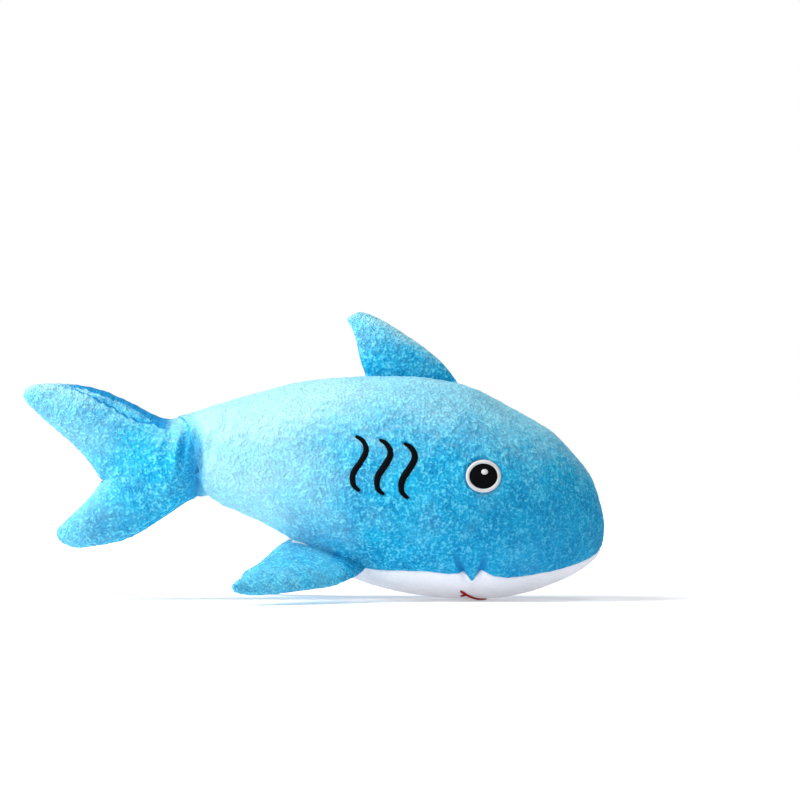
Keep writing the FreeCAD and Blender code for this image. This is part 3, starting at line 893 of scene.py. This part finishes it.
def material_for(slot):
    """The toy's materials, made once each from the cloth settings. Their names differ from the slots' names,
    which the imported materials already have."""
    cloth = bpy.context.scene.plush_shark
    name = f"finished_{slot}"
    ready = bpy.data.materials.get(name)
    if ready:
        return ready
    if slot == "blue_plush":
        # The third colour is painted light, laid where the light falls on the toy.
        deep, pale, painted_light = tuple(cloth.deep_blue), tuple(cloth.pale_blue), tuple(cloth.painted_light)
        return plush_material(name, deep, pale, bump=0.0008, painted_light=painted_light)
    if slot == "white_plush":
        white = tuple(cloth.white)
        return plush_material(name, dimmed(white, 0.93), white, bump=0.0003)
    if slot == "white_thread":
        return thread_material(name, (0.86, 0.86, 0.88), roughness=0.5)
    if slot == "black_thread":
        return thread_material(name, (0.0012, 0.0012, 0.003), roughness=0.7)
    if slot == "red_thread":
        return thread_material(name, tuple(cloth.mouth_red), roughness=0.5)
    return plush_material(name, (0.75, 0.75, 0.73), (0.9, 0.9, 0.89), bump=0.0006)


def filling(name, node, faces, depth, shrink=1.0):
    """Loose fibre inside a padded part: every fourth point p of its covers, moved in along its normal n and
    towards their middle m, as m + shrink * (p - depth * n - m), and joined."""
    inner = []
    middle = np.concatenate([points.reshape(-1, 3) for points, sign in faces]).mean(axis=0)
    for points, sign in faces:
        coarse = points[::4, ::4]
        shrunk = middle + shrink * (coarse - grid_normals(coarse, sign) * depth - middle)
        inner.append(shrunk if sign > 0 else shrunk[:, ::-1])
    piece = build_mesh(name, inner, 1)
    return dress(piece, "polyester_fill", node)


def dress(piece, slot, *nodes):
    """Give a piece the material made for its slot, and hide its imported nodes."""
    piece.data.materials.append(material_for(slot))
    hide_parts(*nodes)
    return piece


# ---- Settings and operators ----

def colour_setting(name, description, default):
    """A colour that the user can change."""
    return FloatVectorProperty(name=name, description=description, subtype="COLOR", default=default,
                               min=0.0, max=1.0)


class PlushSharkSettings(PropertyGroup):
    """The toy's pile and colours, and how far off it is seen"""
    pile: FloatProperty(name="Pile", description="Height of the pile, in mm", default=0.8, min=0.1, max=3.0)
    clump: FloatProperty(name="Clump", description="Size of the pile's clumps, in mm", default=2.4, min=0.5)
    lumps: FloatProperty(name="Lumps", description="Unevenness of the filling, in mm", default=0.5, min=0.0)
    deep_blue: colour_setting("Deep Blue", "Colour between the clumps", (0.0, 0.19, 0.47))
    pale_blue: colour_setting("Pale Blue", "Colour where the nap lies over", (0.02, 0.64, 0.98))
    # The colour of the painted light on the toy's upper and rear side.
    painted_light: colour_setting("Frost", "Colour where the nap is combed up", (0.58, 0.96, 0.99))
    white: colour_setting("White", "Colour of the belly", (0.96, 0.96, 1.0))
    mouth_red: colour_setting("Mouth Red", "Colour of the mouth's thread", (0.42, 0.012, 0.01))
    camera_distance: FloatProperty(name="Camera Distance", description="From the shark's mid-plane",
                                   default=3.0, unit="LENGTH")
    view_width: FloatProperty(name="View Width", description="Width seen at the shark's mid-plane",
                              default=0.4138, unit="LENGTH")


class PLUSH_OT_side_panels(Operator):
    """Sew the two blue side panels of the body"""
    bl_idname = "plush.side_panels"
    bl_label = "Side Panels"

    def execute(self, context):
        cloth = context.scene.plush_shark
        points = side_panel_points(cloth)
        for name, grid, sign in both_sides(points):
            piece = build_mesh(f"{name}_side_plush", [grid], sign)
            dress(piece, "blue_plush", f"{name}_side_panel")
            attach(piece, "body")
        belly = belly_points(cloth)
        faces = ((points, 1), (mirrored(points), -1), (belly, -1))
        piece = filling("body_filling", "body_stuffing", faces, depth=3.5)
        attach(piece, "body")
        return {"FINISHED"}


class PLUSH_OT_belly_panel(Operator):
    """Sew the white belly panel"""
    bl_idname = "plush.belly_panel"
    bl_label = "Belly Panel"

    def execute(self, context):
        cloth = context.scene.plush_shark
        piece = build_mesh("belly_plush", [belly_points(cloth)], -1)
        dress(piece, "white_plush", "belly_panel")
        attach(piece, "body")
        return {"FINISHED"}


class PLUSH_OT_tail(Operator):
    """Sew the two tail panels, with folds at the crease behind the body"""
    bl_idname = "plush.tail"
    bl_label = "Tail"

    def execute(self, context):
        cloth = context.scene.plush_shark
        covers = {name: (tail_panel(cloth, side), -side) for name, side in (("right", -1), ("left", 1))}
        faces = [(half, sign) for halves, sign in covers.values() for half in halves]
        pieces = [filling("tail_filling", "tail_stuffing", faces, depth=2.4)]
        for name, (halves, sign) in covers.items():
            piece = build_mesh(f"{name}_tail_plush", halves, sign)
            dress(piece, "blue_plush", f"{name}_tail_panel")
            pieces.append(piece)
        for piece in pieces:
            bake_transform(piece)
        return {"FINISHED"}


class PLUSH_OT_dorsal_fin(Operator):
    """Sew the two panels of the dorsal fin"""
    bl_idname = "plush.dorsal_fin"
    bl_label = "Dorsal Fin"

    def execute(self, context):
        cloth = context.scene.plush_shark
        leading = flat_to_space(DORSAL_LEADING)
        trailing = flat_to_space(DORSAL_TRAILING)
        base = blade(leading, trailing, DORSAL_HALF, 1, DORSAL_GRID)
        base[..., 1] = -np.abs(base[..., 1])
        points = fin_surface(base, 1, cloth, seed=5)
        pieces = []
        for name, grid, sign in both_sides(points):
            piece = build_mesh(f"{name}_dorsal_plush", [grid], sign)
            dress(piece, "blue_plush", f"{name}_dorsal_panel")
            pieces.append(piece)
        faces = ((points, 1), (mirrored(points), -1))
        pieces.append(filling("dorsal_filling", "dorsal_stuffing", faces, depth=0.0, shrink=0.8))
        for piece in pieces:
            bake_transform(piece)
        return {"FINISHED"}


class PLUSH_OT_pectoral_fins(Operator):
    """Sew the upper and lower panels of both pectoral fins"""
    bl_idname = "plush.pectoral_fins"
    bl_label = "Pectoral Fins"

    def execute(self, context):
        cloth = context.scene.plush_shark
        faces = {}
        for face, sign, seed in (("upper", -1, 11), ("lower", 1, 12)):
            base = blade(PECTORAL_LEADING, PECTORAL_TRAILING, PECTORAL_HALF, sign, PECTORAL_GRID)
            faces[face] = (fin_surface(base, sign, cloth, seed), sign)
        for side, y in (("right", -1), ("left", 1)):
            pieces = []
            covers = [(points if y < 0 else mirrored(points), -sign * y) for points, sign in faces.values()]
            for face, (grid, facing) in zip(faces, covers):
                piece = build_mesh(f"{side}_pectoral_{face}_plush", [grid], facing)
                dress(piece, "blue_plush", f"{side}_pectoral_{face}_panel")
                pieces.append(piece)
            names = (f"{side}_pectoral_filling", f"{side}_pectoral_stuffing")
            pieces.append(filling(*names, covers, depth=0.0, shrink=0.8))
            for piece in pieces:
                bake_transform(piece)
        return {"FINISHED"}


class PLUSH_OT_eyes(Operator):
    """Embroider the white ring, the black pupil and the highlight of both eyes"""
    bl_idname = "plush.eyes"
    bl_label = "Eyes"

    def execute(self, context):
        parts = (
            ("eye_white", ring_points(EYE_RING, PUPIL, height=0.7, stitches=140), "white_thread"),
            ("pupil", disc_points(EYE, PUPIL, height=0.45, pitch=0.5), "black_thread"),
            ("eye_highlight", disc_points(HIGHLIGHT_PLACE, HIGHLIGHT, height=0.95, pitch=0.5),
             "white_thread"),
        )
        for node, points, slot in parts:
            for side, grid, sign in both_sides(points):
                piece = build_mesh(f"{side}_{node}_stitches", [grid], sign, wrap=True)
                dress(piece, slot, f"{side}_{node}")
                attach(piece, "body")
        return {"FINISHED"}


class PLUSH_OT_gills(Operator):
    """Embroider three gill strokes on each side"""
    bl_idname = "plush.gills"
    bl_label = "Gills"

    def execute(self, context):
        steps = np.linspace(0, 1, 340)
        shape = even_spline(GILL_STROKE, steps)
        width = GILL_WIDTH[0] + (GILL_WIDTH[1] - GILL_WIDTH[0]) * np.sin(math.pi * steps) ** 0.8
        paths = [shape + np.array(start) for start in GILL_STARTS]
        strokes = [stroke_points(path, width, height=0.65, pitch=0.42, lift=on_side) for path in paths]
        for side, grids, sign in both_sides(np.stack(strokes)):
            piece = build_mesh(f"{side}_gill_strokes", grids, sign)
            dress(piece, "black_thread", f"{side}_gill_stitching")
            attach(piece, "body")
        return {"FINISHED"}


class PLUSH_OT_mouth(Operator):
    """Embroider the mouth line under the snout"""
    bl_idname = "plush.mouth"
    bl_label = "Mouth"

    def execute(self, context):
        y = np.linspace(-MOUTH_SPAN, MOUTH_SPAN, 520)
        x = MOUTH_FRONT - MOUTH_SWEEP * np.abs(y / MOUTH_SPAN) ** MOUTH_POWER
        tick = even_spline(MOUTH_TICK, np.linspace(0, 1, 60))
        strokes = ((np.stack([x, y], axis=-1), 1.6), (tick, 1.2), (tick * np.array([1, -1]), 1.2))
        grids = [stroke_points(path, np.full(len(path), width), height=0.55, pitch=0.5, lift=under_belly)
                 for path, width in strokes]
        grids[2] = grids[2][:, ::-1]
        piece = build_mesh("mouth_line", grids, -1)
        dress(piece, "red_thread", "mouth_stitching")
        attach(piece, "body")
        return {"FINISHED"}


class PLUSH_OT_stage(Operator):
    """Lay the floor and place the camera and the studio lights"""
    bl_idname = "plush.stage"
    bl_label = "Stage"

    def execute(self, context):
        settings = context.scene.plush_shark
        self.floor()
        self.camera(context, settings)
        for name, place, size, power in LIGHTS:
            self.light(name, place, size, power)
        world = bpy.data.worlds.new("studio")
        context.scene.world = world
        world.use_nodes = True
        self.sky(world.node_tree)
        context.scene.view_settings.view_transform = "Standard"
        return {"FINISHED"}

    def sky(self, tree):
        """A plain white backdrop that lights the toy only a little."""
        backdrop = tree.nodes["Background"]
        backdrop.inputs["Color"].default_value = (1.0, 1.0, 1.0, 1.0)
        path = tree.nodes.new("ShaderNodeLightPath")
        strength = tree.nodes.new("ShaderNodeMapRange")
        strength.inputs["To Min"].default_value = SKY_STRENGTH
        strength.inputs["To Max"].default_value = 1.0
        tree.links.new(path.outputs["Is Camera Ray"], strength.inputs["Value"])
        tree.links.new(strength.outputs["Result"], backdrop.inputs["Strength"])

    def floor(self):
        """A square table top of pale paint."""
        material, nodes, links, shader = new_material("floor_paint")
        shader.inputs["Base Color"].default_value = (0.88, 0.88, 0.90, 1.0)
        shader.inputs["Roughness"].default_value = 0.9
        self.glow(nodes, links, shader)
        mesh = bpy.data.meshes.new("floor")
        corners = [(x * TABLE_REACH, y * TABLE_REACH, 0) for x, y in ((-1, -1), (1, -1), (1, 1), (-1, 1))]
        mesh.from_pydata(corners, [], [(0, 1, 2, 3)])
        mesh.materials.append(material)
        floor = bpy.data.objects.new("floor", mesh)
        bpy.context.scene.collection.objects.link(floor)

    def glow(self, nodes, links, shader):
        """A lit table: it glows a little, and for the camera it turns white away from the toy."""
        place = nodes.new("ShaderNodeTexCoord")
        distance = nodes.new("ShaderNodeVectorMath")
        distance.operation = "LENGTH"
        links.new(place.outputs["Object"], distance.inputs[0])
        fade = ramp(nodes, links, distance.outputs["Value"], TABLE_FADE)
        seen = product(nodes, links, fade, nodes.new("ShaderNodeLightPath").outputs["Is Camera Ray"])
        total = nodes.new("ShaderNodeMath")
        total.inputs[1].default_value = TABLE_GLOW
        links.new(seen, total.inputs[0])
        shader.inputs["Emission Color"].default_value = (1.0, 1.0, 1.0, 1.0)
        links.new(total.outputs[0], shader.inputs["Emission Strength"])

    def camera(self, context, settings):
        """A camera that looks level at the right side, from the settings' distance and over their width."""
        lens = bpy.data.cameras.new("camera")
        lens.sensor_width = SENSOR_WIDTH
        lens.lens = SENSOR_WIDTH * settings.camera_distance / settings.view_width
        lens.clip_end = 20.0
        camera = bpy.data.objects.new("camera", lens)
        camera.location = (CAMERA_X, -settings.camera_distance, CAMERA_Z)
        camera.rotation_euler = (math.pi / 2, 0, 0)
        context.scene.collection.objects.link(camera)
        context.scene.camera = camera

    def light(self, name, place, size, power):
        """An area light that looks at the middle of the shark."""
        data = bpy.data.lights.new(name, "AREA")
        data.size = size
        data.energy = power
        lamp = bpy.data.objects.new(name, data)
        lamp.location = place
        middle = (CAD_BOX[0] + CAD_BOX[1]) / 2
        lamp.rotation_euler = (lamp.location - middle).to_track_quat("Z", "Y").to_euler()
        bpy.context.scene.collection.objects.link(lamp)


class PLUSH_PT_shark(Panel):
    """Everything that makes the toy, in the order in which it is sewn"""
    bl_label = "Plush Shark"
    bl_space_type = "VIEW_3D"
    bl_region_type = "UI"
    bl_category = "Plush Shark"

    def draw(self, context):
        settings = context.scene.plush_shark
        for name in PlushSharkSettings.__annotations__:
            self.layout.prop(settings, name)
        for operator in OPERATORS:
            self.layout.operator(operator.bl_idname)


OPERATORS = (
    PLUSH_OT_stage, PLUSH_OT_side_panels, PLUSH_OT_belly_panel, PLUSH_OT_tail, PLUSH_OT_dorsal_fin,
    PLUSH_OT_pectoral_fins, PLUSH_OT_eyes, PLUSH_OT_gills, PLUSH_OT_mouth,
)
CLASSES = (PlushSharkSettings, *OPERATORS, PLUSH_PT_shark)


def register():
    """Register the classes and put the settings on the scene."""
    for item in CLASSES:
        bpy.utils.register_class(item)
    bpy.types.Scene.plush_shark = PointerProperty(type=PlushSharkSettings)


def unregister():
    """Take the settings off the scene and unregister the classes."""
    del bpy.types.Scene.plush_shark
    for item in reversed(CLASSES):
        bpy.utils.unregister_class(item)


def main():
    """Make the stage and every piece."""
    register()
    for operator in OPERATORS:
        section, name = operator.bl_idname.split(".")
        getattr(getattr(bpy.ops, section), name)()


if __name__ == "__main__":
    main()
